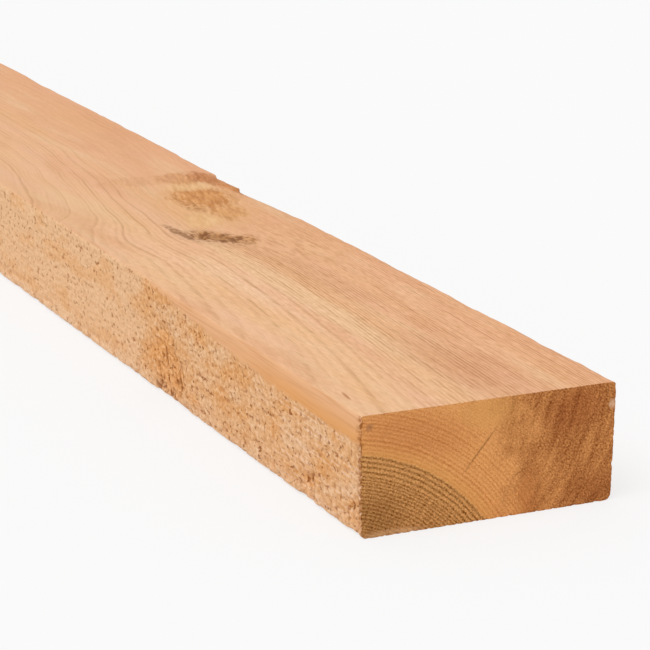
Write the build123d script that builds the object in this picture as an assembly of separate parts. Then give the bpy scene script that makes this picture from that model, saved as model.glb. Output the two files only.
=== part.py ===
"""One length of softwood framing timber, dressed while green.

The plank lies flat on its wide face. X runs along the grain with the near end at +X, Y runs across the width and Z
is up. The origin is the middle of the bottom face. Both wide faces and the far edge are planed. The near edge (-Y) was
sawn out of square, so the planer cleaned only a strip under its top arris and left the rest rough from the saw.
"""

import math
import os

from build123d import *

# Section and length, in millimetres
LENGTH = 2438.4  # 8 ft
WIDTH = 90.5  # 3 9/16 in
THICKNESS = 39.7  # 1 9/16 in
TOP_ARRIS_RADIUS = 1.0
BOTTOM_ARRIS_RADIUS = 2.5

# Near edge: how the sawn face lies behind the planed one
SAWN_DEPTH = 0.8  # at the bottom arris
STRIP_HEIGHT = 9.0  # planed strip at the near end, measured down from the top face
STRIP_LENGTH = 162.0  # from the near end to where that strip runs out
SAW_PITCH = 1219.2  # from the middle of one planed patch to the next
STATIONS_PER_PITCH = 8  # sections of the sawn face in one pitch

# Far top arris: slivers that the planer tore out on the near side of an edge knot and across it
KNOT_FROM_END = 296.0  # near end to the middle of the knot
KNOT_LENGTH = 24.0
NEAR_SLIVER_LENGTH = 60.0
NEAR_SLIVER_DEPTH = 2.6
FAR_SLIVER_LENGTH = 70.0
FAR_SLIVER_DEPTH = 1.5
SLIVER_RADIUS = 20.0  # of the hollow that a sliver leaves
SLIVER_TILT = 70.0  # degrees up from the far edge that the hollow faces, so that it takes more of the top face

CUT_OVERRUN = 6.0  # how far every cut runs past the timber


def plank_blank():
    """The planed section with eased arrises, run out to the full length."""
    section = Plane.YZ * Pos(0, THICKNESS / 2) * Rectangle(WIDTH, THICKNESS)
    corners = section.vertices().group_by(Axis.Z)
    section = fillet(corners[0], BOTTOM_ARRIS_RADIUS)
    section = fillet(section.vertices().group_by(Axis.Z)[-1], TOP_ARRIS_RADIUS)
    return extrude(section, LENGTH / 2, both=True)


def top_inset(from_end):
    """Depth of the sawn face behind the planed one, at the top face. It is negative where the planer cut.

    The saw wanders in a long wave, so planed patches come back once in every pitch.
    """
    strip_inset = SAWN_DEPTH * STRIP_HEIGHT / (THICKNESS - STRIP_HEIGHT)
    run_out = math.cos(math.tau * STRIP_LENGTH / SAW_PITCH)
    wander = strip_inset / (1 - run_out)
    return wander * (run_out - math.cos(math.tau * from_end / SAW_PITCH))


def sawn_waste(from_end):
    """Section of the wood that the saw took off the near edge, at one distance from the near end."""
    lean = (top_inset(from_end) - SAWN_DEPTH) / THICKNESS
    low, high = -CUT_OVERRUN, THICKNESS + CUT_OVERRUN
    planed_face = -WIDTH / 2
    outside = planed_face - CUT_OVERRUN
    outline = Polygon(
        (outside, low),
        (planed_face + SAWN_DEPTH + lean * low, low),
        (planed_face + SAWN_DEPTH + lean * high, high),
        (outside, high),
        align=None,
    )
    return Plane.YZ.offset(LENGTH / 2 - from_end) * outline


def sawn_edge_cut():
    """The long wavy cut that left the near edge rough, from past one end to past the other."""
    step = SAW_PITCH / STATIONS_PER_PITCH
    last = math.ceil(LENGTH / step) + 1
    return loft([sawn_waste(station * step) for station in range(-1, last + 1)])


def sliver_cut(wall_from_end, run_from_end, depth):
    """A hollow in the far top arris, deepest at a torn wall and running out at its other end."""
    outwards = Vector(0, 1, 0).rotate(Axis.X, SLIVER_TILT)
    wall = Vector(LENGTH / 2 - wall_from_end, WIDTH / 2, THICKNESS) + outwards * (SLIVER_RADIUS - depth)
    run_out = Vector(LENGTH / 2 - run_from_end, WIDTH / 2, THICKNESS) + outwards * SLIVER_RADIUS
    axis = Plane(wall, z_dir=run_out - wall)
    return extrude(axis * Circle(SLIVER_RADIUS), (run_out - wall).length + CUT_OVERRUN)


def knot_slivers():
    """Both slivers: each broke off at a torn wall on one side of the knot and runs out towards the near end."""
    near_wall = KNOT_FROM_END - KNOT_LENGTH / 2
    far_wall = KNOT_FROM_END + KNOT_LENGTH / 2
    return [
        sliver_cut(near_wall, near_wall - NEAR_SLIVER_LENGTH, NEAR_SLIVER_DEPTH),
        sliver_cut(far_wall, far_wall - FAR_SLIVER_LENGTH, FAR_SLIVER_DEPTH),
    ]


def plank():
    """The whole plank as one solid."""
    timber = plank_blank() - sawn_edge_cut()
    for sliver in knot_slivers():
        timber -= sliver
    return timber


os.makedirs("parts", exist_ok=True)
export_step(plank(), "parts/plank.step")
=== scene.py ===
"""Looks of a length of softwood framing timber that was dressed while green.

Every pattern is laid out in millimetres: along the grain from the near end, across from the sawn edge, and up
from the floor.
"""

import bisect
import math

import bmesh
import bpy
import numpy as np
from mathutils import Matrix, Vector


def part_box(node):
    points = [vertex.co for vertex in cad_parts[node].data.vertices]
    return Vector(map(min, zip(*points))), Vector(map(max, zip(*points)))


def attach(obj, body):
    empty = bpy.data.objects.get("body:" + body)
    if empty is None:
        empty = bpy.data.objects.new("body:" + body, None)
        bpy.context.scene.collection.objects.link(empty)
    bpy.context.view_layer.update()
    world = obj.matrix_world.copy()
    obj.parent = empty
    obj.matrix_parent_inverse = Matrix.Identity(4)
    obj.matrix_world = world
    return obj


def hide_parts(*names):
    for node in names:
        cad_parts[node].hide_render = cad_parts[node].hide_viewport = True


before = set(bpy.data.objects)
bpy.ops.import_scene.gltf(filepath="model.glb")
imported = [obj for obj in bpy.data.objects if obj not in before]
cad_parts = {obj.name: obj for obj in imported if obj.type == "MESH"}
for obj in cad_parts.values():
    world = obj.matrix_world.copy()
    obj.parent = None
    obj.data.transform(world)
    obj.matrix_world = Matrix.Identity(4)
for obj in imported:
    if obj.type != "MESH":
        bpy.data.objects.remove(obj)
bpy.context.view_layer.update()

# Plank, as it left the planer and the cross-cut saw. One stick of light softwood, sawn from the log and
# dressed green on both wide faces and the far edge. The near edge lay out of square, so the knives reached
# only a strip below its top arris, and the rest kept the saw's surface.
MM = 0.001
box_low, box_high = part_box("plank")
LENGTH, WIDTH, THICKNESS = [round(size / MM, 1) for size in box_high - box_low]
TOP_ARRIS = 1.0
BOTTOM_ARRIS = 2.5
SAWN_DEPTH = 0.8  # of the sawn face behind the planed one, at the bottom arris
STRIP_HEIGHT = 9.0  # planed strip at the near end
STRIP_LENGTH = 162.0  # from the near end to where that strip runs out
SAW_PITCH = LENGTH / 2  # from one planed patch to the next
SAWN_TAPER = 10.0  # how far in from the edge the mesh gives way to the sawn face
SLIVER_RADIUS = 20.0  # of the hollow that a torn sliver leaves in the far top arris
SLIVER_TILT = math.radians(70)  # up from the far edge, the way that the hollow faces
SLIVERS = (  # torn wall and run-out, both from the near end, and the depth at the wall
    (284.0, 224.0, 2.6),
    (308.0, 238.0, 1.5),
)

# Mesh lines. The stretch that shows the torn grain close up has the finest.
CLOSE_LENGTH = 448.0
close = np.linspace(0, CLOSE_LENGTH, 449).round(4)
rest = np.linspace(CLOSE_LENGTH, LENGTH, 665).round(4)
whole = np.concatenate([close[::4], rest[4::4]])
across_lines = np.linspace(0, WIDTH, 137).round(4)
up_lines = np.linspace(0, THICKNESS, 61).round(4)
PLANED, SAWN, END = 0, 1, 2
panels = {  # the axis that each faces, its level there, its lines along the other two axes, how it was cut
    "sawn_close": (1, 0.0, close, up_lines, SAWN),
    "sawn_rest": (1, 0.0, rest, up_lines[::3], SAWN),
    "top_close": (2, THICKNESS, close[::2], across_lines[::2], PLANED),
    "top_rest": (2, THICKNESS, rest[::4], across_lines[::4], PLANED),
    "bottom": (2, 0.0, whole, across_lines[::4], PLANED),
    "far_edge": (1, WIDTH, whole, up_lines[::4], PLANED),
    "near_end": (0, 0.0, across_lines, up_lines, END),
    "far_end": (0, LENGTH, across_lines[::2], up_lines[::3], END),
}

# Bake map: long panels are cut into strips and stacked in the square, the close stretch and the ends larger
MAP_SIDE = 1024.0
MAP_MARGIN = 3.0
MIDDLE_LINE = 256  # the line of the rest that is nearest the middle of the stick and runs round every panel
half_rest = rest[len(rest) // 2]
half_whole = rest[MIDDLE_LINE]
rows = (  # strips that share a row of the map: panel, first and last line along it, texels to a millimetre
    (("top_close", 0.0, CLOSE_LENGTH, 2.25),),
    (("sawn_close", 0.0, CLOSE_LENGTH, 2.25),),
    (("top_rest", CLOSE_LENGTH, half_rest, 1.0),),
    (("top_rest", half_rest, LENGTH, 1.0),),
    (("sawn_rest", CLOSE_LENGTH, half_rest, 1.0),),
    (("sawn_rest", half_rest, LENGTH, 1.0),),
    (("bottom", 0.0, half_whole, 0.82),),
    (("bottom", half_whole, LENGTH, 0.82),),
    (("far_edge", 0.0, half_whole, 0.82),),
    (("far_edge", half_whole, LENGTH, 0.82),),
    (("near_end", 0.0, WIDTH, 4.0), ("far_end", 0.0, WIDTH, 4.0)),
)
map_places = {name: [] for name in panels}
map_row = MAP_MARGIN
for row in rows:
    map_column = MAP_MARGIN
    for name, first, last, texels in row:
        map_places[name].append((first, last, texels, map_column, map_row))
        map_column += (last - first) * texels + 2 * MAP_MARGIN
    map_row += panels[name][3][-1] * texels + 2 * MAP_MARGIN


def lattice_point(facing, level, u, v):
    """A point of the squared-up plank, from the level of a panel and its place on the panel's lines."""
    point = [u, v]
    point.insert(facing, level)
    return tuple(point)


def rail_key(start, end):
    """The straight line that two lattice points share, and the axis that it runs along."""
    axis = next(i for i in range(3) if start[i] != end[i])
    return axis, tuple(c for i, c in enumerate(start) if i != axis)


rails = {}
for facing, level, us, vs, cut in panels.values():
    for u_end in (us[0], us[-1]):
        rail = [lattice_point(facing, level, u_end, v) for v in vs]
        axis, key = rail_key(rail[0], rail[1])
        rails.setdefault((axis, key), set()).update(point[axis] for point in rail)
    for v_end in (vs[0], vs[-1]):
        rail = [lattice_point(facing, level, u, v_end) for u in us]
        axis, key = rail_key(rail[0], rail[1])
        rails.setdefault((axis, key), set()).update(point[axis] for point in rail)
rails = {key: sorted(values) for key, values in rails.items()}


def side_points(start, end):
    """A cell's side from its start up to its end, with the points that a finer panel beside it puts there."""
    axis, key = rail_key(start, end)
    values = rails.get((axis, key), ())
    first, last = sorted((start[axis], end[axis]))
    between = values[bisect.bisect_right(values, first):bisect.bisect_left(values, last)]
    if start[axis] > end[axis]:
        between = between[::-1]
    return [start] + [start[:axis] + (value,) + start[axis + 1:] for value in between]


lattice, faces, cuts, bake_places = {}, [], [], []
for name, (facing, level, us, vs, cut) in panels.items():
    us, vs = us.tolist(), vs.tolist()
    u_axis, v_axis = [axis for axis in range(3) if axis != facing]
    for u_first, u_last in zip(us, us[1:]):
        strip = next(place for place in map_places[name] if place[0] <= u_first and u_last <= place[1])
        first, last, texels, map_column, map_row = strip
        for v_first, v_last in zip(vs, vs[1:]):
            cell = ((u_first, v_first), (u_last, v_first), (u_last, v_last), (u_first, v_last))
            cell = [lattice_point(facing, level, u, v) for u, v in cell]
            loop = []
            for start, end in zip(cell, cell[1:] + cell[:1]):
                loop += side_points(start, end)
            faces.append([lattice.setdefault(point, len(lattice)) for point in loop])
            cuts.append(cut)
            for point in loop:
                bake_places.append((map_column + (point[u_axis] - first) * texels) / MAP_SIDE)
                bake_places.append((map_row + point[v_axis] * texels) / MAP_SIDE)


def eased(across, up):
    """The squared-up section with each corner square drawn in to a quarter disc."""
    for side, inwards in ((0.0, 1), (WIDTH, -1)):
        for level, upwards, radius in ((0.0, 1, BOTTOM_ARRIS), (THICKNESS, -1, TOP_ARRIS)):
            a = 1 - np.abs(across - side) / radius
            b = 1 - np.abs(up - level) / radius
            corner = (a > 0) & (b > 0)
            disc_a = a * np.sqrt(np.clip(1 - b * b / 2, 0, 1))
            disc_b = b * np.sqrt(np.clip(1 - a * a / 2, 0, 1))
            across = np.where(corner, side + inwards * radius * (1 - disc_a), across)
            up = np.where(corner, level + upwards * radius * (1 - disc_b), up)
    return across, up


def sawn_lean(along, up):
    """Depth of the sawn face behind the planed one. It is negative where the knives reached the wood."""
    strip_inset = SAWN_DEPTH * STRIP_HEIGHT / (THICKNESS - STRIP_HEIGHT)
    run_out = math.cos(math.tau * STRIP_LENGTH / SAW_PITCH)
    top_inset = strip_inset * (run_out - np.cos(math.tau * along / SAW_PITCH)) / (1 - run_out)
    return SAWN_DEPTH + (top_inset - SAWN_DEPTH) * up / THICKNESS


def without_slivers(along, across, up):
    """The far top arris with the hollows that torn slivers left, each deepest at its wall."""
    for wall, run_out, depth in SLIVERS:
        share = (along - run_out) / (wall - run_out)
        reach = SLIVER_RADIUS - depth * share
        d_across = across - (WIDTH + reach * math.cos(SLIVER_TILT))
        d_up = up - (THICKNESS + reach * math.sin(SLIVER_TILT))
        gap = np.hypot(d_across, d_up)
        hollow = (share > 0) & (share <= 1) & (gap < SLIVER_RADIUS)
        push = np.where(hollow, SLIVER_RADIUS / np.maximum(gap, TOP_ARRIS), 1)
        across = across + d_across * (push - 1)
        up = up + d_up * (push - 1)
    return across, up


along, across, up = np.array(list(lattice)).T
across, up = eased(across, up)
lean = sawn_lean(along, up)
across = across + np.clip(lean, 0, None) * np.clip(1 - across / SAWN_TAPER, 0, 1)
across, up = without_slivers(along, across, up)
corners = np.column_stack([LENGTH / 2 - along, across - WIDTH / 2, up]) * MM
mesh = bpy.data.meshes.new("plank_dressed")
mesh.from_pydata(corners.tolist(), [], faces)
mesh.attributes.new("sawn", "FLOAT", "POINT").data.foreach_set("value", lean)
mesh.attributes.new("cut", "INT", "FACE").data.foreach_set("value", cuts)
mesh.uv_layers.new(name="OFBake").uv.foreach_set("vector", bake_places)
shell = bmesh.new()
shell.from_mesh(mesh)
bmesh.ops.recalc_face_normals(shell, faces=shell.faces)
shell.to_mesh(mesh)
shell.free()
plank = bpy.data.objects.new("plank_dressed", mesh)
bpy.context.scene.collection.objects.link(plank)

# Plank, its torn grain. The saw and dull knives plucked short fibres out of the green wood: the near edge is
# all small chips and pits, one patch is torn deeper, and the knot in the far arris lost its short grain.


def linear(code):
    """An sRGB colour code as the linear colour that a shader works in."""
    parts = [int(code[i:i + 2], 16) / 255 for i in (1, 3, 5)]
    return [c / 12.92 if c <= 0.04045 else ((c + 0.055) / 1.055) ** 2.4 for c in parts] + [1.0]


def add(tree, kind, inputs=(), output=0, **settings):
    """Adds a node with its settings, feeds its inputs by place or by name, and gives one of its outputs.

    A colour code is fed as the linear colour that it names.
    """
    node = tree.nodes.new(kind)
    for setting, value in settings.items():
        setattr(node, setting, value)
    for key, value in inputs.items() if isinstance(inputs, dict) else enumerate(inputs):
        if isinstance(value, bpy.types.NodeSocket):
            tree.links.new(value, node.inputs[key])
        elif isinstance(value, str) and value.startswith("#"):
            node.inputs[key].default_value = linear(value)
        else:
            node.inputs[key].default_value = value
    return node.outputs[output]


def from_near_end(tree, position):
    """A place on the plank in millimetres: along from the near end, across from the sawn edge, up."""
    scale, shift = (-1 / MM, 1 / MM, 1 / MM), (LENGTH / 2, WIDTH / 2, 0)
    return add(tree, "ShaderNodeVectorMath", [position, scale, shift], operation="MULTIPLY_ADD")


def mark(tree, place, centre, halves, turn=(0, 0, 0)):
    """A soft oval mark that is 1 at its centre and fades to 0 at its half sizes."""
    offset = add(tree, "ShaderNodeVectorMath", [place, centre], operation="SUBTRACT")
    turned = add(tree, "ShaderNodeVectorRotate", {"Vector": offset, "Rotation": turn},
                 rotation_type="EULER_XYZ", invert=True)
    share = add(tree, "ShaderNodeVectorMath", [turned, halves], operation="DIVIDE")
    return add(tree, "ShaderNodeTexGradient", [share], output=1, gradient_type="SPHERICAL")


def patches(tree, place, sizes, low, high, most=1.0, detail=2.0):
    """Cloudy patches of those sizes in millimetres: 0 under the cloud's low level, most over its high one."""
    share = add(tree, "ShaderNodeVectorMath", [place, sizes], operation="DIVIDE")
    cloud = add(tree, "ShaderNodeTexNoise",
                {"Vector": share, "Scale": 1.0, "Detail": detail, "Roughness": 0.55})
    return add(tree, "ShaderNodeMapRange", [cloud, low, high, 0.0, most])


def strayed(tree, place, size, reach):
    """The place moved about by a cloud of patches of that size, so that what is drawn there is ragged."""
    cloud = add(tree, "ShaderNodeTexNoise", {"Vector": place, "Scale": 1 / size, "Detail": 2.0}, output=1)
    cloud = add(tree, "ShaderNodeVectorMath", [cloud, (0.5, 0.5, 0.5)], operation="SUBTRACT")
    return add(tree, "ShaderNodeVectorMath", [cloud, reach, place], operation="MULTIPLY_ADD")


def on_edge(tree, place):
    """The near edge as a flat sheet: along it, then up."""
    parts = add(tree, "ShaderNodeSeparateXYZ", [place]).node
    return add(tree, "ShaderNodeCombineXYZ", [parts.outputs["X"], parts.outputs["Z"]])


BORDER_PATCH = 10 / 3  # of the ragged border between the planed strip and the torn face, along it
BORDER_STRAYS = 0.08  # depth of sawn face over which that border wanders
BORDER_START, BORDER_END = 0.02, 0.08  # depths between which the face goes from planed to torn


def torn_share(tree, place, sawn):
    """How far a place is into the torn face: 0 on the planed strip, rising over a ragged border to 1."""
    ragged = add(tree, "ShaderNodeTexNoise", {"Vector": place, "Scale": 1 / BORDER_PATCH, "Detail": 3.0})
    border = add(tree, "ShaderNodeMath", [ragged, BORDER_STRAYS, sawn], operation="MULTIPLY_ADD")
    return add(tree, "ShaderNodeMapRange", [border, BORDER_START, BORDER_END, 0.0, 1.0],
               interpolation_type="SMOOTHSTEP")


# Sizes of what tore out of the near edge, along it and up, and where it tore deeper or less
FUZZ_SIZE = (2.1, 1.7, 1.0)
PIT_SIZE = (2.4, 1.8, 1.0)
GASH_SIZE = (2.6, 6.0, 1.0)
CRUMB_SIZE = (5.0, 3.2, 1.0)
CLUSTER_SIZE = (14.0, 8.0, 1.0)  # of the groups that pits come in
CRUMB_TOP, CRUMB_FULL = 10.0, 3.0  # heights over the floor between which crumbs come in
DEEP_TEAR = {"centre": (150.0, 0.0, 9.0), "halves": (18.0, 40.0, 28.0), "turn": (0, math.radians(28), 0)}
NOTCH = {"centre": (37.0, 0.0, 3.0), "halves": (7.0, 40.0, 11.0), "turn": (0, math.radians(-15), 0)}
CORNER = {"centre": (5.0, 0.0, 4.0), "halves": (6.0, 40.0, 11.0)}
CALM = {"centre": (304.0, 0.0, 23.0), "halves": (146.0, 60.0, 90.0)}  # a stretch that tore less
CALM_SPELL = (320.0, 90.0, 1.0)  # more such stretches come along the stick
SPELLS_START, SPELLS_FULL = 420.0, 560.0  # from here on


def torn_grain(tree, place):
    """Torn grain: fuzz, how deep it tore, where it tore less, pits, upright gashes, crumbs by the floor."""
    sheet = on_edge(tree, place)
    fuzz_place = add(tree, "ShaderNodeVectorMath", [sheet, FUZZ_SIZE], operation="DIVIDE")
    fuzz = add(tree, "ShaderNodeTexNoise",
               {"Vector": fuzz_place, "Scale": 1.0, "Detail": 3.0, "Roughness": 0.65})
    clusters = patches(tree, sheet, CLUSTER_SIZE, 0.35, 0.65, detail=3.0)
    parts = add(tree, "ShaderNodeSeparateXYZ", [sheet]).node
    calm = add(tree, "ShaderNodeMapRange", [mark(tree, place, **CALM), 0.0, 0.2, 0.0, 1.0])
    further = add(tree, "ShaderNodeMapRange", [parts.outputs["X"], SPELLS_START, SPELLS_FULL, 0.0, 1.0])
    spells = patches(tree, sheet, CALM_SPELL, 0.42, 0.58)
    spells = add(tree, "ShaderNodeMath", [spells, further], operation="MULTIPLY")
    calm = add(tree, "ShaderNodeMath", [calm, spells], operation="MAXIMUM")
    deep = add(tree, "ShaderNodeMath", [clusters, 0.3], operation="MULTIPLY")
    for tear in (DEEP_TEAR, NOTCH, CORNER):
        deep = add(tree, "ShaderNodeMath", [deep, mark(tree, place, **tear)], operation="ADD")
    deep = add(tree, "ShaderNodeMapRange", [deep, 0.3, 0.65, 0.0, 1.0], interpolation_type="SMOOTHSTEP")
    pit_share = add(tree, "ShaderNodeMapRange", [clusters, 0.0, 1.0, 0.45, 1.0])
    pit_share = add(tree, "ShaderNodeMath", [calm, -0.2, pit_share], operation="MULTIPLY_ADD")
    pit = patches(tree, sheet, PIT_SIZE, 0.58, 0.64)
    pit = add(tree, "ShaderNodeMath", [pit, pit_share], operation="MULTIPLY")
    crumbly = add(tree, "ShaderNodeMapRange", [parts.outputs["Y"], CRUMB_TOP, CRUMB_FULL, 0.0, 0.7])
    crumb = patches(tree, sheet, CRUMB_SIZE, 0.5, 0.6)
    crumb = add(tree, "ShaderNodeMath", [crumb, crumbly], operation="MULTIPLY")
    gash = patches(tree, sheet, GASH_SIZE, 0.52, 0.64)
    gash = add(tree, "ShaderNodeMath", [gash, deep], operation="MULTIPLY")
    return fuzz, deep, calm, pit, gash, crumb


def new_tree(name, sizes):
    """A geometry tree that takes a mesh and named sizes. Gives the tree and its group input node."""
    tree = bpy.data.node_groups.new(name, "GeometryNodeTree")
    tree.interface.new_socket("Geometry", in_out="INPUT", socket_type="NodeSocketGeometry")
    tree.interface.new_socket("Geometry", in_out="OUTPUT", socket_type="NodeSocketGeometry")
    for size in sizes:
        tree.interface.new_socket(size, in_out="INPUT", socket_type="NodeSocketFloat")
    return tree, tree.nodes.new("NodeGroupInput")


def set_by(piece, tree, sizes):
    """Runs the tree on the piece with these sizes and keeps the result as the piece's plain mesh."""
    modifier = piece.modifiers.new(tree.name, "NODES")
    modifier.node_group = tree
    for item in tree.interface.items_tree:
        if item.in_out == "INPUT" and item.name in sizes:
            modifier[item.identifier] = sizes[item.name]
    made = bpy.data.meshes.new_from_object(piece.evaluated_get(bpy.context.evaluated_depsgraph_get()))
    piece.modifiers.remove(modifier)
    made.name = piece.name
    piece.data = made


def from_rim(tree, place):
    """The distance of a place on an end from the nearest side of the section."""
    there = add(tree, "ShaderNodeVectorMath", [(LENGTH, WIDTH, THICKNESS), place], operation="SUBTRACT")
    nearest = add(tree, "ShaderNodeVectorMath", [place, there], operation="MINIMUM")
    sides = add(tree, "ShaderNodeSeparateXYZ", [nearest]).node
    return add(tree, "ShaderNodeMath", [sides.outputs["Y"], sides.outputs["Z"]], operation="MINIMUM")


KNOT = {"centre": (274.0, 71.0, THICKNESS), "halves": (46.0, 22.0, 16.0), "turn": (0, 0, math.radians(10))}
POCKET = {"centre": (213.0, 46.3, THICKNESS), "halves": (17.0, 8.0, 6.0), "turn": (0, 0, math.radians(-35))}
PLUCK_SIZE = (6.0, 1.8, 1.8)  # of the short grain that came out of the knot and the pocket
CHIP_SIZE = (3.0, 2.2, 1.0)  # of what broke off the sawn edge at the near end
CHIPS_START, CHIPS_FULL = 2.5, 0.5  # distances from the near end between which chips come in
ARRIS_REACH = 3.5  # how far from the far top arris it is worn
WORN_SIZE = (28.0, 200.0, 200.0)
BRISTLE_SIZE = (1.1, 1.1, 1.1)  # of the cut fibre ends
SPLINTER_SIZE = (2.0, 2.0, 2.0)
RIM_REACH = 1.4  # how far in from the sides of an end it is splintered
RELIEF = {  # depths of the plucked-out wood in metres
    "Fuzz depth": 0.3 * MM,
    "Pit depth": 0.3 * MM,
    "Gash depth": 1.0 * MM,
    "Crumb depth": 0.9 * MM,
    "Tear depth": 0.5 * MM,
    "Knot depth": 0.7 * MM,
    "Pocket depth": 0.9 * MM,
    "Arris wear": 0.7 * MM,
    "Chip depth": 1.2 * MM,
    "End roughness": 0.25 * MM,
    "Rim depth": 0.6 * MM,
}
tree, given = new_tree("plucked_grain", RELIEF)
position = add(tree, "GeometryNodeInputPosition")
place = from_near_end(tree, position)
normal = add(tree, "GeometryNodeInputNormal")
normal_parts = add(tree, "ShaderNodeSeparateXYZ", [normal]).node
sawn = add(tree, "GeometryNodeInputNamedAttribute", {"Name": "sawn"}, data_type="FLOAT")
torn = torn_share(tree, place, sawn)
faces_near = add(tree, "ShaderNodeMapRange", [normal_parts.outputs["Y"], -0.1, -0.5, 0.0, 1.0])
end_on = add(tree, "ShaderNodeMath", [normal_parts.outputs["X"]], operation="ABSOLUTE")
end_on = add(tree, "ShaderNodeMapRange", [end_on, 0.3, 0.8, 0.0, 1.0])
place_parts = add(tree, "ShaderNodeSeparateXYZ", [place]).node
beside = add(tree, "ShaderNodeMapRange", [place_parts.outputs["Y"], 0.0, SAWN_TAPER, 1.0, 0.0])
beside = add(tree, "ShaderNodeMath", [beside, end_on], operation="MULTIPLY")
gives_way = add(tree, "ShaderNodeMath", [faces_near, beside], operation="MAXIMUM")
torn = add(tree, "ShaderNodeMath", [torn, gives_way], operation="MULTIPLY")
fuzz, deep, calm, pit, gash, crumb = torn_grain(tree, place)
low = add(tree, "ShaderNodeMapRange", [fuzz, 0.3, 0.7, 1.0, 0.0])
rough = add(tree, "ShaderNodeMath", [calm, -0.5, 1.0], operation="MULTIPLY_ADD")
low = add(tree, "ShaderNodeMath", [low, rough], operation="MULTIPLY")
edge_depth = add(tree, "ShaderNodeMath", [low, given.outputs["Fuzz depth"]], operation="MULTIPLY")
for share, size in ((pit, "Pit depth"), (gash, "Gash depth"), (crumb, "Crumb depth"), (deep, "Tear depth")):
    edge_depth = add(tree, "ShaderNodeMath", [share, given.outputs[size], edge_depth],
                     operation="MULTIPLY_ADD")
edge_depth = add(tree, "ShaderNodeMath", [edge_depth, torn], operation="MULTIPLY")
by_the_end = add(tree, "ShaderNodeMapRange", [place_parts.outputs["X"], CHIPS_START, CHIPS_FULL, 0.0, 1.0])
chips = patches(tree, on_edge(tree, place), CHIP_SIZE, 0.46, 0.7, detail=4.0)
for share in (by_the_end, gives_way):
    chips = add(tree, "ShaderNodeMath", [chips, share], operation="MULTIPLY")
edge_depth = add(tree, "ShaderNodeMath", [chips, given.outputs["Chip depth"], edge_depth],
                 operation="MULTIPLY_ADD")
faces_up = add(tree, "ShaderNodeMapRange", [normal_parts.outputs["Z"], 0.5, 0.9, 0.0, 1.0])
plucked = patches(tree, place, PLUCK_SIZE, 0.42, 0.65, detail=3.0)
knot = add(tree, "ShaderNodeMapRange", [mark(tree, place, **KNOT), 0.0, 0.5, 0.0, 1.0])
knot_depth = add(tree, "ShaderNodeMath", [knot, given.outputs["Knot depth"]], operation="MULTIPLY")
pocket = add(tree, "ShaderNodeMapRange", [mark(tree, place, **POCKET), 0.0, 0.6, 0.0, 1.0])
pocket_depth = add(tree, "ShaderNodeMath", [pocket, given.outputs["Pocket depth"], knot_depth],
                   operation="MULTIPLY_ADD")
top_depth = add(tree, "ShaderNodeMath", [pocket_depth, plucked], operation="MULTIPLY")
top_depth = add(tree, "ShaderNodeMath", [top_depth, faces_up], operation="MULTIPLY")
arris = add(tree, "ShaderNodeVectorMath", [place, (0, -1, -1), (0, WIDTH, THICKNESS)],
            operation="MULTIPLY_ADD")
arris = add(tree, "ShaderNodeVectorMath", [arris], output=1, operation="LENGTH")
arris = add(tree, "ShaderNodeMapRange", [arris, ARRIS_REACH, 0.0, 0.0, 1.0])
worn = patches(tree, place, WORN_SIZE, 0.42, 0.66, detail=4.0)
worn = add(tree, "ShaderNodeMath", [worn, arris], operation="MULTIPLY")
top_depth = add(tree, "ShaderNodeMath", [worn, given.outputs["Arris wear"], top_depth],
                operation="MULTIPLY_ADD")
bristle = patches(tree, place, BRISTLE_SIZE, 0.0, 1.0, detail=3.0)
end_depth = add(tree, "ShaderNodeMath", [bristle, given.outputs["End roughness"]], operation="MULTIPLY")
splinters = patches(tree, place, SPLINTER_SIZE, 0.5, 0.72, detail=4.0)
rim = from_rim(tree, place)
rim = add(tree, "ShaderNodeMapRange", [rim, RIM_REACH, 0.0, 0.0, 1.0])
rim = add(tree, "ShaderNodeMath", [rim, splinters], operation="MULTIPLY")
end_depth = add(tree, "ShaderNodeMath", [rim, given.outputs["Rim depth"], end_depth],
                operation="MULTIPLY_ADD")
end_depth = add(tree, "ShaderNodeMath", [end_depth, end_on], operation="MULTIPLY")
depth = add(tree, "ShaderNodeMath", [top_depth, end_depth], operation="ADD")
inwards = add(tree, "ShaderNodeMath", [depth, -1.0], operation="MULTIPLY")
offset = add(tree, "ShaderNodeVectorMath", {"Vector": normal, "Scale": inwards}, operation="SCALE")
straight_in = add(tree, "ShaderNodeCombineXYZ", {"Y": edge_depth})
offset = add(tree, "ShaderNodeVectorMath", [offset, straight_in], operation="ADD")
moved = add(tree, "GeometryNodeSetPosition", {"Geometry": given.outputs["Geometry"], "Offset": offset})

# Growth rings of the stick, as its three kinds of surface show them
PITH = (0.0, -11.7, -42.0)  # the heart of the tree at the near end, below and outside the sawn edge
PITH_WANDER = 22.0  # how far the heart rises and falls along the stick
PITH_WAVE = 330.0  # the length over which it does so, for one radian
RING_WIDTH = 1.3
HEART_RADIUS = 70.4  # of the dark wood round the pith
BAND_RADIUS = 64.0  # from here to the heart's edge its rings are wide and strong
CORE_RADIUS = 44.0  # and from there in to here they are narrow
OUTER_RADIUS = 88.0  # from here to the outer edge the tree grew old and its rings are narrow
OUTER_EDGE = 128.0
GROWTH = (  # the radii between which growth was uneven, and the years that are added over that stretch
    (HEART_RADIUS, BAND_RADIUS, 0.94),
    (BAND_RADIUS, CORE_RADIUS, -3.2),
    (OUTER_RADIUS, OUTER_EDGE, 14.0),
)
ARC_RADIUS = 80.0  # where a turn about the pith is measured as a length
BEND_SIZE = (170.0, 110.0, 110.0)  # of the stick's slow bends
BEND_START, BEND_FULL = 0.5, 6.0  # how far the rings bend, at the near end and from the knot on
KNOT_START = 200.0  # from the near end
RIPPLE_SIZE = (40.0, 8.0, 8.0)
RIPPLE = 0.6
SWELL_HALVES = (106.0, 90.0, 60.0)  # of the wood that bulges round the knot
SWELL = 9.0
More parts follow.
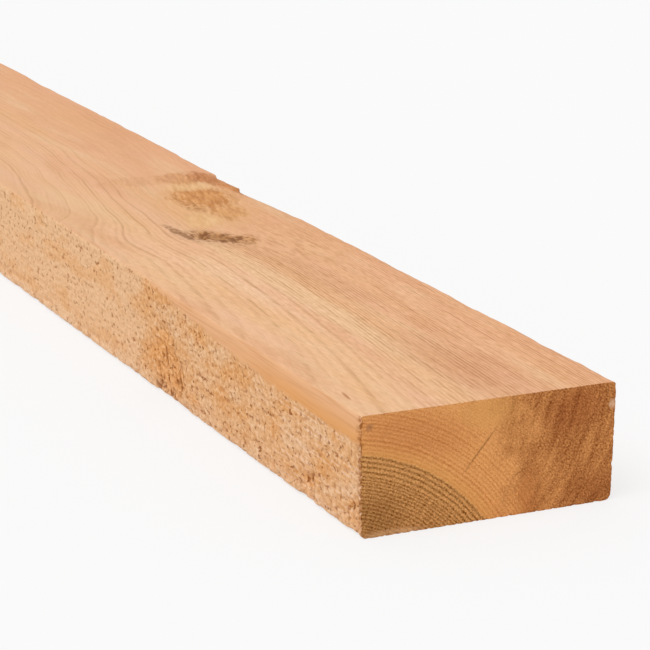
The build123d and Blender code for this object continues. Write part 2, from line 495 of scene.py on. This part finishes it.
LEAP_START, LEAP_END = 215.0, 300.0  # the stretch beside the knot where the stem leans over
LEAP = -13.0  # how far the rings move there, at the sawn edge
LEAP_NEAR, LEAP_FAR = 12.0, 62.0  # across the stick, the leap fades out between these
WAVER_SIZE = (42.0, 24.0, 24.0)
WAVER = 6.0  # how far the rings waver beyond the knot
WAVER_START, WAVER_FULL = 180.0, 250.0


def growth_rings(tree, place, late_start, late_full, late_end):
    """Late wood, a chance value for each ring, the years, the distance from the pith and the way round it.

    Late wood darkens from its start to its full share of the year, and goes after its end.
    """
    run, across = add(tree, "ShaderNodeSeparateXYZ", [place]).node.outputs[:2]
    wave = add(tree, "ShaderNodeMath", [run, PITH_WAVE], operation="DIVIDE")
    wave = add(tree, "ShaderNodeMath", [wave], operation="SINE")
    rise = add(tree, "ShaderNodeVectorMath", {"Vector": (0, 0, PITH_WANDER), "Scale": wave},
               operation="SCALE")
    spoke = add(tree, "ShaderNodeVectorMath", [place, PITH], operation="SUBTRACT")
    spoke = add(tree, "ShaderNodeVectorMath", [spoke, rise], operation="SUBTRACT")
    spoke = add(tree, "ShaderNodeVectorMath", [spoke, (0, 1, 1)], operation="MULTIPLY")
    radius = add(tree, "ShaderNodeVectorMath", [spoke], output=1, operation="LENGTH")
    parts = add(tree, "ShaderNodeSeparateXYZ", [spoke]).node
    turn = add(tree, "ShaderNodeMath", [parts.outputs["Z"], parts.outputs["Y"]], operation="ARCTAN2")
    arc = add(tree, "ShaderNodeMath", [turn, ARC_RADIUS], operation="MULTIPLY")
    most_bend = add(tree, "ShaderNodeMapRange", [run, 0.0, KNOT_START, BEND_START, BEND_FULL])
    most_waver = add(tree, "ShaderNodeMapRange", [run, WAVER_START, WAVER_FULL, 0.0, WAVER])
    for sizes, detail, most in (
            (BEND_SIZE, 1.0, most_bend), (RIPPLE_SIZE, 2.0, RIPPLE), (WAVER_SIZE, 1.0, most_waver)):
        share = add(tree, "ShaderNodeVectorMath", [place, sizes], operation="DIVIDE")
        cloud = add(tree, "ShaderNodeTexNoise", {"Vector": share, "Scale": 1.0, "Detail": detail})
        cloud = add(tree, "ShaderNodeMath", [cloud, 0.5], operation="SUBTRACT")
        radius = add(tree, "ShaderNodeMath", [cloud, most, radius], operation="MULTIPLY_ADD")
    swell = mark(tree, place, KNOT["centre"], SWELL_HALVES)
    radius = add(tree, "ShaderNodeMath", [swell, SWELL, radius], operation="MULTIPLY_ADD")
    leap = add(tree, "ShaderNodeMapRange", [run, LEAP_START, LEAP_END, 0.0, LEAP],
               interpolation_type="SMOOTHSTEP")
    by_edge = add(tree, "ShaderNodeMapRange", [across, LEAP_NEAR, LEAP_FAR, 1.0, 0.0])
    radius = add(tree, "ShaderNodeMath", [leap, by_edge, radius], operation="MULTIPLY_ADD")
    years = add(tree, "ShaderNodeMath", [radius, RING_WIDTH], operation="DIVIDE")
    for first, last, added in GROWTH:
        uneven = add(tree, "ShaderNodeMapRange", [radius, first, last, 0.0, added])
        years = add(tree, "ShaderNodeMath", [years, uneven], operation="ADD")
    lean_years = add(tree, "ShaderNodeTexNoise", {"W": years, "Scale": 0.12, "Detail": 1.0},
                     noise_dimensions="1D")
    years = add(tree, "ShaderNodeMath", [lean_years, 1.5, years], operation="MULTIPLY_ADD")
    year = add(tree, "ShaderNodeMath", [years], operation="FLOOR")
    season = add(tree, "ShaderNodeMath", [years], operation="FRACT")
    chance = add(tree, "ShaderNodeTexWhiteNoise", {"W": year}, noise_dimensions="1D")
    rising = add(tree, "ShaderNodeMapRange", [season, late_start, late_full, 0.0, 1.0],
                 interpolation_type="SMOOTHSTEP")
    falling = add(tree, "ShaderNodeMapRange", [season, late_end, 1.0, 1.0, 0.0],
                  interpolation_type="SMOOTHSTEP")
    late = add(tree, "ShaderNodeMath", [rising, falling], operation="MULTIPLY")
    return late, chance, years, radius, arc


def new_material(name):
    """An empty node material. Gives it with its tree and the place on the plank."""
    material = bpy.data.materials.new(name)
    material.use_nodes = True
    material.node_tree.nodes.clear()
    seen = add(material.node_tree, "ShaderNodeTexCoord", output="Object")
    return material, material.node_tree, from_near_end(material.node_tree, seen)


def finish_material(tree, ground, coats, roughness, height, bump_depth):
    """Ends the tree in a dull surface: a ground colour with coats laid on it, and that fine relief.

    A coat is a share, a colour and how it goes on. Bare wood hardly shines, so its specular level is low.
    """
    for share, colour, kind in coats:
        ground = add(tree, "ShaderNodeMix", {0: share, 6: ground, 7: colour}, 2, data_type="RGBA",
                     blend_type=kind)
    bump = add(tree, "ShaderNodeBump", {"Height": height, "Distance": bump_depth})
    surface = add(tree, "ShaderNodeBsdfPrincipled",
                  {"Base Color": ground, "Roughness": roughness, "Normal": bump, "Specular IOR Level": 0.1})
    out = tree.nodes.new("ShaderNodeOutputMaterial")
    tree.links.new(surface, out.inputs["Surface"])


# SHADE also tints the painted shade on the top by its near edge and in the torn face's hollows
SHADE = "#DECEB9"  # what darker fibre leaves of the light: it takes more of the blue than of the red

# Planed softwood: knives leave it smooth and pale, with short brown lines of late wood and raised fibre. Real
# fibres are too fine to show, so they are drawn as streaks of 5 by 0.65 mm.
planed, skin, spot = new_material("planed_softwood")
late, chance, years = growth_rings(skin, spot, 0.3, 0.8, 0.85)[:3]
parts = add(skin, "ShaderNodeSeparateXYZ", [spot]).node
along_plank, across_plank = parts.outputs["X"], parts.outputs["Y"]
nearness = add(skin, "ShaderNodeMapRange", [along_plank, 190.0, 280.0, 1.0, 0.35])
breaks = patches(skin, spot, (20.0, 1.7, 1.7), 0.36, 0.6)
square_on = add(skin, "ShaderNodeMapRange", [across_plank, 8.0, 48.0, 0.42, 1.0])
strength = add(skin, "ShaderNodeMapRange", [chance, 0.0, 1.0, 0.4, 1.0])
line = late
for part in (strength, breaks, square_on, nearness):
    line = add(skin, "ShaderNodeMath", [line, part], operation="MULTIPLY")
beyond = add(skin, "ShaderNodeMapRange", [along_plank, 180.0, 250.0, 0.0, 0.5])
few = add(skin, "ShaderNodeMapRange", [chance, 0.5, 0.95, 0.0, 1.0])
by_edge = add(skin, "ShaderNodeMapRange", [across_plank, 35.0, 62.0, 1.0, 0.0])
arcs = late
for part in (few, beyond, by_edge):
    arcs = add(skin, "ShaderNodeMath", [arcs, part], operation="MULTIPLY")
FIBRE_SIZE = (5.0, 0.65, 0.65)
fibre_place = add(skin, "ShaderNodeVectorMath", [spot, FIBRE_SIZE], operation="DIVIDE")
fibre = add(skin, "ShaderNodeTexNoise",
            {"Vector": fibre_place, "Scale": 1.0, "Detail": 2.0, "Roughness": 0.6})
fibrous = add(skin, "ShaderNodeMapRange", [across_plank, 8.0, 45.0, 0.45, 0.7])
fibrous = add(skin, "ShaderNodeMath", [fibrous, nearness], operation="MULTIPLY")
fibre_shade = add(skin, "ShaderNodeMapRange", [fibre, 0.66, 0.3, 0.0, 1.0])
fibre_shade = add(skin, "ShaderNodeMath", [fibre_shade, fibrous], operation="MULTIPLY")
bands = add(skin, "ShaderNodeTexNoise", {"W": years, "Scale": 0.55, "Detail": 1.0}, noise_dimensions="1D")
pale_stripe = mark(skin, spot, (120.0, 42.0, THICKNESS), (150.0, 8.0, 12.0))
red_patch = mark(skin, spot, (34.0, 52.0, THICKNESS), (53.0, 16.0, 30.0))
tan_stripe = mark(skin, spot, (158.0, 56.0, THICKNESS), (66.0, 11.0, 12.0), (0, 0, math.radians(-4)))
coats = [
    (patches(skin, spot, (97.0, 14.0, 14.0), 0.36, 0.64, detail=3.0), "#F6C7A2", "MIX"),
    (add(skin, "ShaderNodeMapRange", [across_plank, 20.0, 85.0, 0.0, 0.65]), "#EEB084", "MIX"),
    (patches(skin, spot, (80.0, 11.0, 11.0), 0.52, 0.68, 0.4), "#F8D5AC", "MIX"),
    (patches(skin, spot, (60.0, 15.0, 15.0), 0.54, 0.7, 0.5), "#E8AE82", "MIX"),
    (add(skin, "ShaderNodeMapRange", [pale_stripe, 0.0, 0.6, 0.0, 0.4]), "#F9D9AE", "MIX"),
    (add(skin, "ShaderNodeMapRange", [red_patch, 0.0, 0.7, 0.0, 0.5]), "#DA9C72", "MIX"),
    (add(skin, "ShaderNodeMapRange", [tan_stripe, 0.0, 0.7, 0.0, 0.3]), "#D5A06E", "MIX"),
    (add(skin, "ShaderNodeMapRange", [along_plank, 190.0, 260.0, 0.0, 0.3]), SHADE, "MULTIPLY"),
    (add(skin, "ShaderNodeMapRange", [bands, 0.45, 0.7, 0.0, 0.15]), SHADE, "MULTIPLY"),
    # painted shade: the top darkens towards its near edge and arris
    (add(skin, "ShaderNodeMapRange", [across_plank, 25.0, 0.0, 0.0, 0.2]), SHADE, "MULTIPLY"),
    (line, "#D6C3AC", "MULTIPLY"),
    (arcs, SHADE, "MULTIPLY"),
    (fibre_shade, SHADE, "MULTIPLY"),
]
SWIRL = math.radians(-14)  # the grain's turn where it runs round the knot
swirled = strayed(skin, spot, 16.0, (6.0, 4.0, 0.0))
turned = add(skin, "ShaderNodeVectorRotate", {"Vector": swirled, "Angle": SWIRL}, rotation_type="Z_AXIS")
streaked = patches(skin, turned, (10.0, 1.5, 1.5), 0.34, 0.68, detail=3.0)
pitted = patches(skin, swirled, (3.2, 2.0, 2.0), 0.38, 0.62)
dashes = patches(skin, spot, (7.0, 1.3, 1.3), 0.46, 0.66)
edges = add(skin, "ShaderNodeMath", [streaked, pitted], operation="ADD")
edges = add(skin, "ShaderNodeMapRange", [edges, 0.0, 2.0, 0.5, 1.5])
stains = (  # the knot and the wood about it: where, half sizes, turn, strength, its specks, both colours
    ((263.0, 64.0, THICKNESS), (58.0, 24.0, 20.0), 12, 0.7, streaked, "#EBBC88", "#DBA46C"),
    ((275.0, 68.0, THICKNESS), (28.0, 19.0, 20.0), 8, 0.9, streaked, "#DC9C5C", "#B87539"),
    ((247.0, 68.0, THICKNESS), (18.0, 10.0, 12.0), 22, 0.8, streaked, "#DDA265", "#BE8045"),
    ((259.0, 58.5, THICKNESS), (12.0, 5.0, 12.0), -5, 0.6, pitted, "#D7A46D", "#A86C38"),
    ((295.0, 71.0, THICKNESS), (10.0, 17.0, 12.0), 0, 0.55, streaked, "#F0C894", "#E0AE78"),
    ((308.0, 72.5, THICKNESS), (15.0, 13.0, 12.0), 0, 0.75, streaked, "#DD9E65", "#C1804A"),
    ((303.0, 83.5, THICKNESS), (20.0, 10.0, 12.0), -10, 0.9, streaked, "#CC8852", "#A96736"),
    ((286.0, 87.5, THICKNESS), (18.0, 6.0, 12.0), 0, 0.8, streaked, "#D89457", "#B8743C"),
    ((309.0, 55.0, THICKNESS), (12.0, 26.0, 12.0), -4, 0.6, streaked, "#E2AA7C", "#CE9266"),
    ((238.0, 53.0, THICKNESS), (16.0, 10.0, 12.0), 25, 0.6, streaked, "#F0C68F", "#DDAA6E"),
    ((190.0, 68.0, THICKNESS), (44.0, 21.0, 12.0), -10, 0.5, dashes, "#EBB688", "#C58956"),
    ((205.0, 55.5, THICKNESS), (11.0, 8.0, 8.0), 20, 0.85, pitted, "#D9A26B", "#A66A36"),
    ((211.0, 44.0, THICKNESS), (24.0, 11.0, 8.0), -36, 0.6, pitted, "#D8AA82", "#C4946A"),
    ((213.0, 47.5, THICKNESS), (18.0, 9.0, 8.0), -33, 1.0, pitted, "#BE8854", "#855228"),
    ((224.0, 37.0, THICKNESS), (20.0, 2.8, 8.0), -5, 0.9, pitted, "#B98A60", "#8C5C34"),
)
for centre, halves, degrees, most, specks, body, speck in stains:
    oval = mark(skin, swirled, centre, halves, (0, 0, math.radians(degrees)))
    oval = add(skin, "ShaderNodeMath", [oval, edges], operation="MULTIPLY")
    oval = add(skin, "ShaderNodeMapRange", [oval, 0.06, 0.6, 0.0, most], interpolation_type="SMOOTHSTEP")
    colour = add(skin, "ShaderNodeMix", {0: specks, 6: body, 7: speck}, 2, data_type="RGBA")
    coats.append((oval, colour, "MIX"))
dash = mark(skin, spot, (19.5, 5.0, THICKNESS), (5.0, 0.75, 4.0), (0, 0, math.radians(8)))
coats.append((add(skin, "ShaderNodeMapRange", [dash, 0.0, 0.5, 0.0, 0.8]), "#B97A4C", "MIX"))
finish_material(skin, "#F4C495", coats, roughness=0.6, height=fibre, bump_depth=0.12 * MM)

# Sawn softwood: plucked fibre shows pale broken ends beside brown pits, and the strip above keeps its lines
# The torn face's colour follows its relief: painted shade in the fuzz's hollows and the pits, a painted
# highlight on its ridges
sawn_wood, skin, spot = new_material("sawn_softwood")
sawn = add(skin, "ShaderNodeAttribute", output="Fac", attribute_name="sawn")
torn = torn_share(skin, spot, sawn)
fuzz, deep, calm, pit, gash, crumb = torn_grain(skin, spot)
sheet = on_edge(skin, spot)
run = add(skin, "ShaderNodeSeparateXYZ", [spot])
patchy = patches(skin, sheet, (22.0, 11.0, 1.0), 0.38, 0.62, detail=3.0)
patchy = add(skin, "ShaderNodeMath", [calm, 0.5, patchy], operation="MULTIPLY_ADD", use_clamp=True)
lined = patches(skin, sheet, (40.0, 0.9, 1.0), 0.45, 0.68, detail=3.0)
rough = add(skin, "ShaderNodeMath", [calm, -0.45, 1.0], operation="MULTIPLY_ADD")
# painted shade: the fuzz's low places, where the relief is deepest, are darkened
hollow = add(skin, "ShaderNodeMapRange", [fuzz, 0.56, 0.34, 0.0, 0.85])
hollow = add(skin, "ShaderNodeMath", [hollow, rough], operation="MULTIPLY")
# pale broken fibre ends, with a painted highlight: the fuzz's raised places are lightened
pale_ends_and_highlight = add(skin, "ShaderNodeMapRange", [fuzz, 0.54, 0.68, 0.0, 0.45])
pale_ends_and_highlight = add(skin, "ShaderNodeMath", [pale_ends_and_highlight, rough], operation="MULTIPLY")
up_from_floor = add(skin, "ShaderNodeSeparateXYZ", [sheet]).node.outputs["Y"]
by_floor = add(skin, "ShaderNodeMapRange", [up_from_floor, 7.0, 1.5, 0.0, 1.0])
broken = add(skin, "ShaderNodeMix", {0: patchy, 6: "#E5AB72", 7: "#EBBF94"}, 2, data_type="RGBA")
combed = patches(skin, sheet, (16.0, 0.9, 1.0), 0.5, 0.64, detail=3.0)
close_by = add(skin, "ShaderNodeMapRange", [run, 85.0, 40.0, 0.0, 1.0])
combed = add(skin, "ShaderNodeMath", [combed, close_by], operation="MULTIPLY")
torn_coats = (  # on the torn face: how much of it shows, the most of it, its colour and how it goes on
    (deep, 0.8, "#EAAB6C", "MIX"),
    (combed, 0.6, "#F5D3B8", "MIX"),
    (by_floor, 0.4, "#F6DABC", "MIX"),
    (lined, 0.3, SHADE, "MULTIPLY"),
    (hollow, 1.0, SHADE, "MULTIPLY"),
    (pale_ends_and_highlight, 1.0, "#F4D5B2", "MIX"),
    (crumb, 0.4, "#C98445", "MIX"),
    # pits: the brown of the bared end grain, darkened further with painted shade in their hollows
    (pit, 0.85, "#94521C", "MIX"),
    (gash, 0.85, "#8A4A12", "MIX"),
)
for share, most, colour, kind in torn_coats:
    share = add(skin, "ShaderNodeMath", [share, most], operation="MULTIPLY")
    broken = add(skin, "ShaderNodeMix", {0: share, 6: broken, 7: colour}, 2, data_type="RGBA",
                 blend_type=kind)
deeper = add(skin, "ShaderNodeMapRange", [sawn, -0.24, -0.03, 0.0, 1.0])
by_the_end = add(skin, "ShaderNodeMapRange", [run, 100.0, 50.0, 0.25, 1.0])
deeper = add(skin, "ShaderNodeMath", [deeper, by_the_end], operation="MULTIPLY")
bruised = add(skin, "ShaderNodeMapRange", [run, 3.2, 0.4, 0.0, 0.9])
chips = patches(skin, sheet, (1.5, 1.5, 1.0), 0.42, 0.6)
bruised = add(skin, "ShaderNodeMath", [bruised, chips], operation="MULTIPLY")
coats = (
    (deeper, "#E1A162", "MIX"),
    (patches(skin, sheet, (30.0, 0.9, 1.0), 0.46, 0.68, 0.45, detail=3.0), "#C68650", "MIX"),
    (torn, broken, "MIX"),
    (bruised, "#9C5A26", "MIX"),
)
roughness = add(skin, "ShaderNodeMapRange", [torn, 0.0, 1.0, 0.6, 0.85])
height = add(skin, "ShaderNodeMath", [fuzz, pit], operation="SUBTRACT")
height = add(skin, "ShaderNodeMath", [height, torn], operation="MULTIPLY")
finish_material(skin, "#E8B48A", coats, roughness, height, bump_depth=0.15 * MM)

# End grain: it drinks the light, so it is darker than the faces, and each ring shows. Cut cells are too fine
# to show, so they are drawn as dots of half a millimetre.
end_grain, skin, spot = new_material("end_grain_softwood")
jagged = strayed(skin, spot, 0.8, (0.0, 1.3, 1.3))
late, chance, _, radius, arc = growth_rings(skin, jagged, 0.1, 0.6, 0.65)
parts = add(skin, "ShaderNodeSeparateXYZ", [spot]).node
polar = add(skin, "ShaderNodeCombineXYZ", [radius, arc])
dots = patches(skin, polar, (0.5, 0.55, 1.0), 0.34, 0.66, detail=1.0)
rays = patches(skin, polar, (9.0, 1.1, 1.0), 0.36, 0.64)
STREAK_SLANT = math.radians(-25)  # of the far side's streaks against the rings
slanted = add(skin, "ShaderNodeVectorRotate", {"Vector": polar, "Angle": STREAK_SLANT},
              rotation_type="Z_AXIS")
streaks = patches(skin, slanted, (14.0, 1.8, 1.0), 0.34, 0.66, detail=3.0)
blotch = patches(skin, spot, (8.0, 8.0, 8.0), 0.3, 0.7, detail=4.0)
fuzzy = add(skin, "ShaderNodeMath", [blotch, 16.0, parts.outputs["Y"]], operation="MULTIPLY_ADD")
fuzzy = add(skin, "ShaderNodeMath", [parts.outputs["Z"], 0.3, fuzzy], operation="MULTIPLY_ADD")
fuzzy = add(skin, "ShaderNodeMapRange", [fuzzy, 56.0, 84.0, 0.0, 1.0], interpolation_type="SMOOTHSTEP")
heart = add(skin, "ShaderNodeMapRange", [radius, HEART_RADIUS + 0.3, HEART_RADIUS - 0.3, 0.0, 1.0])
band = add(skin, "ShaderNodeMapRange", [radius, BAND_RADIUS - 1.0, BAND_RADIUS + 1.0, 0.0, 1.0])
thin = add(skin, "ShaderNodeMapRange", [late, 0.2, 0.9, 0.0, 1.0])
strength = add(skin, "ShaderNodeMapRange", [chance, 0.0, 1.0, 0.5, 0.9])
outer = add(skin, "ShaderNodeMapRange", [radius, 80.0, 94.0, 1.0, 0.5])
sap_lines = add(skin, "ShaderNodeMath", [late, strength], operation="MULTIPLY")
sap_lines = add(skin, "ShaderNodeMath", [sap_lines, outer], operation="MULTIPLY")
woods = (  # what darkens sap wood, the heart's core, its band and the far side: patterns and their weights
    ((sap_lines, 0.55), (dots, 0.46)),
    ((late, 0.4), (dots, 0.5), (rays, 0.2)),
    ((thin, 0.44), (dots, 0.58)),
    ((late, 0.05), (dots, 0.6), (streaks, 0.36), (blotch, 0.1)),
)
darks = []
for weights in woods:
    dark = 0.0
    for pattern, weight in weights:
        dark = add(skin, "ShaderNodeMath", [pattern, weight, dark], operation="MULTIPLY_ADD", use_clamp=True)
    darks.append(dark)
sap_dark, core_dark, band_dark, fuzzy_dark = darks
sap = add(skin, "ShaderNodeMix", {0: sap_dark, 6: "#F6B36E", 7: "#C47438"}, 2, data_type="RGBA")
heart_dark = add(skin, "ShaderNodeMix", {0: band, 2: core_dark, 3: band_dark})
heart_wood = add(skin, "ShaderNodeMix", {0: heart_dark, 6: "#F0B06C", 7: "#814912"}, 2, data_type="RGBA")
fuzzy_wood = add(skin, "ShaderNodeMix", {0: fuzzy_dark, 6: "#E8A05E", 7: "#8C4A1A"}, 2, data_type="RGBA")
golden = add(skin, "ShaderNodeMapRange", [radius, HEART_RADIUS + 5.0, HEART_RADIUS, 0.0, 0.35])
coats = [(golden, "#DFA054", "MIX"), (fuzzy, fuzzy_wood, "MIX"), (heart, heart_wood, "MIX")]
stains = (  # marks on the near end: where, half sizes, turn, strength, colour, whether it tints or covers
    ((0.0, 4.4, 4.6), (9.0, 15.0, 12.0), 0, 0.6, "#CFC8BC", "MULTIPLY"),
    ((0.0, 19.0, 32.0), (9.0, 27.0, 10.0), -12, 0.55, "#E4D0C6", "MULTIPLY"),
    ((0.0, 44.9, 35.5), (9.0, 13.0, 7.0), 0, 0.4, "#E2A45C", "MIX"),
    ((0.0, 75.7, 32.4), (9.0, 14.0, 10.0), 20, 0.6, "#D0B09E", "MULTIPLY"),
    ((0.0, 60.0, 6.0), (9.0, 6.0, 12.0), 0, 0.5, "#D0B49E", "MULTIPLY"),
    ((0.0, 84.5, 5.0), (9.0, 14.0, 8.0), 0, 0.5, "#D2BCB0", "MULTIPLY"),
    ((0.0, 3.3, 35.7), (9.0, 1.7, 1.5), 30, 0.4, "#7E5644", "MIX"),
    ((0.0, 89.4, 32.4), (9.0, 1.6, 2.0), 0, 0.8, "#E6B893", "MIX"),
    ((0.0, 42.0, 23.4), (9.0, 11.2, 0.42), 50.6, 0.65, "#95592C", "MIX"),
    ((0.0, 56.6, 14.2), (9.0, 3.3, 0.35), 29.0, 0.6, "#95592C", "MIX"),
    ((0.0, 12.0, 0.6), (9.0, 14.0, 1.8), 0, 0.6, "#E2AE7C", "MIX"),
)
for centre, halves, degrees, most, stain, kind in stains:
    oval = mark(skin, jagged, centre, halves, (math.radians(degrees), 0, 0))
    coats.append((add(skin, "ShaderNodeMapRange", [oval, 0.0, 0.6, 0.0, most]), stain, kind))
splinters = patches(skin, spot, (2.2, 2.2, 2.2), 0.35, 0.7, 1.6, detail=4.0)
side = add(skin, "ShaderNodeMapRange", [parts.outputs["Y"], 0.0, 3.0, 1.0, 0.0])
splinters = add(skin, "ShaderNodeMath", [splinters, side], operation="ADD")
above = add(skin, "ShaderNodeMapRange", [parts.outputs["Z"], THICKNESS - 3.0, THICKNESS, 0.0, 0.5])
splinters = add(skin, "ShaderNodeMath", [splinters, above], operation="SUBTRACT")
rim = add(skin, "ShaderNodeMath", [splinters, from_rim(skin, spot)], operation="SUBTRACT")
coats.append((add(skin, "ShaderNodeMapRange", [rim, 0.3, 1.1, 0.0, 0.8]), "#96541F", "MIX"))
finish_material(skin, sap, coats, roughness=0.8, height=dots, bump_depth=0.12 * MM)

cut = add(tree, "GeometryNodeInputNamedAttribute", {"Name": "cut"}, data_type="INT")
for kind, material in ((PLANED, planed), (SAWN, sawn_wood), (END, end_grain)):
    chosen = add(tree, "FunctionNodeCompare", {2: cut, 3: kind}, data_type="INT", operation="EQUAL")
    moved = add(tree, "GeometryNodeSetMaterial",
                {"Geometry": moved, "Selection": chosen, "Material": material})
realized = add(tree, "GeometryNodeRealizeInstances", [moved])
result = tree.nodes.new("NodeGroupOutput")
tree.links.new(realized, result.inputs["Geometry"])
set_by(plank, tree, RELIEF)
plank.data.shade_smooth()
plank.data.set_sharp_from_angle(angle=math.radians(50))
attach(plank, "root")
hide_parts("plank")

# Floor: a plain pale sheet that runs on past every view, with the world the same shade behind it
FLOOR_SIDE = 400.0
PALE = linear("#FAFAFA")
floor_mesh = bpy.data.meshes.new("floor")
half = FLOOR_SIDE / 2
floor_corners = [(-half, -half, 0), (half, -half, 0), (half, half, 0), (-half, half, 0)]
floor_mesh.from_pydata(floor_corners, [], [(0, 1, 2, 3)])
floor = bpy.data.objects.new("floor", floor_mesh)
bpy.context.scene.collection.objects.link(floor)
floor_paint = bpy.data.materials.new("matt_floor_paint")
floor_paint.use_nodes = True
floor_paint.node_tree.nodes.clear()


def seen_share(tree, most):
    """A share for what a camera or a mirror sees, and 0 for the light that falls on the object."""
    ray = add(tree, "ShaderNodeLightPath").node
    seen = ray.outputs["Is Camera Ray"]
    for name in ("Is Glossy Ray", "Is Transmission Ray"):
        seen = add(tree, "ShaderNodeMath", [seen, ray.outputs[name]], operation="MAXIMUM")
    return add(tree, "ShaderNodeMath", [seen, most], operation="MULTIPLY")


FLOOR_GLOW = 0.75  # how far the shadow is washed out, as on a lit studio sheet
paint = floor_paint.node_tree
matt = add(paint, "ShaderNodeBsdfPrincipled",
           {"Base Color": PALE, "Roughness": 0.9, "Specular IOR Level": 0.0})
lit = add(paint, "ShaderNodeEmission", {"Color": PALE, "Strength": 1.0})
sheet = add(paint, "ShaderNodeMixShader", [seen_share(paint, FLOOR_GLOW), matt, lit])
paint.links.new(sheet, paint.nodes.new("ShaderNodeOutputMaterial").inputs["Surface"])
floor_mesh.materials.append(floor_paint)

# Light: an even white room and one large soft lamp up on the left, in front of the sawn edge
WORLD_LEVEL = 0.66
world = bpy.data.worlds.new("white_room")
bpy.context.scene.world = world
world.use_nodes = True
world.node_tree.nodes.clear()
level = add(world.node_tree, "ShaderNodeMix", {0: seen_share(world.node_tree, 1.0), 2: WORLD_LEVEL, 3: 1.0})
room = add(world.node_tree, "ShaderNodeBackground", {"Color": PALE, "Strength": level})
world_out = world.node_tree.nodes.new("ShaderNodeOutputWorld")
world.node_tree.links.new(room, world_out.inputs["Surface"])
LAMP_STRENGTH = 1.35
LAMP_SPREAD = math.radians(40)  # how wide the lamp looks from the plank
LAMP_TILT = math.radians(30)  # over towards the sawn edge
LAMP_SWING = math.radians(20)  # round towards the near end
lamp = bpy.data.lights.new("softbox", "SUN")
lamp.energy = LAMP_STRENGTH
lamp.angle = LAMP_SPREAD
lamp_object = bpy.data.objects.new("softbox", lamp)
lamp_object.rotation_euler = (LAMP_TILT, 0, LAMP_SWING)
bpy.context.scene.collection.objects.link(lamp_object)

# Camera: a long lens close to the near end, a little above it
NEAR_END = LENGTH / 2 * MM
CAMERA_FROM_END = (0.6453, -0.3800, 0.2811)  # metres from the near end, from the middle and up
CAMERA_TURN = (73.6573, -1.0932, 63.7796)  # degrees
LENS = 141.7  # millimetres, as is the sensor
SENSOR = 36.0
camera_data = bpy.data.cameras.new("camera")
camera_data.sensor_width = SENSOR
camera_data.lens = LENS
camera_data.clip_end = 1000.0
camera = bpy.data.objects.new("camera", camera_data)
camera.location = (NEAR_END + CAMERA_FROM_END[0], CAMERA_FROM_END[1], CAMERA_FROM_END[2])
camera.rotation_euler = [math.radians(angle) for angle in CAMERA_TURN]
bpy.context.scene.collection.objects.link(camera)
bpy.context.scene.camera = camera
bpy.context.scene.view_settings.view_transform = "Standard"
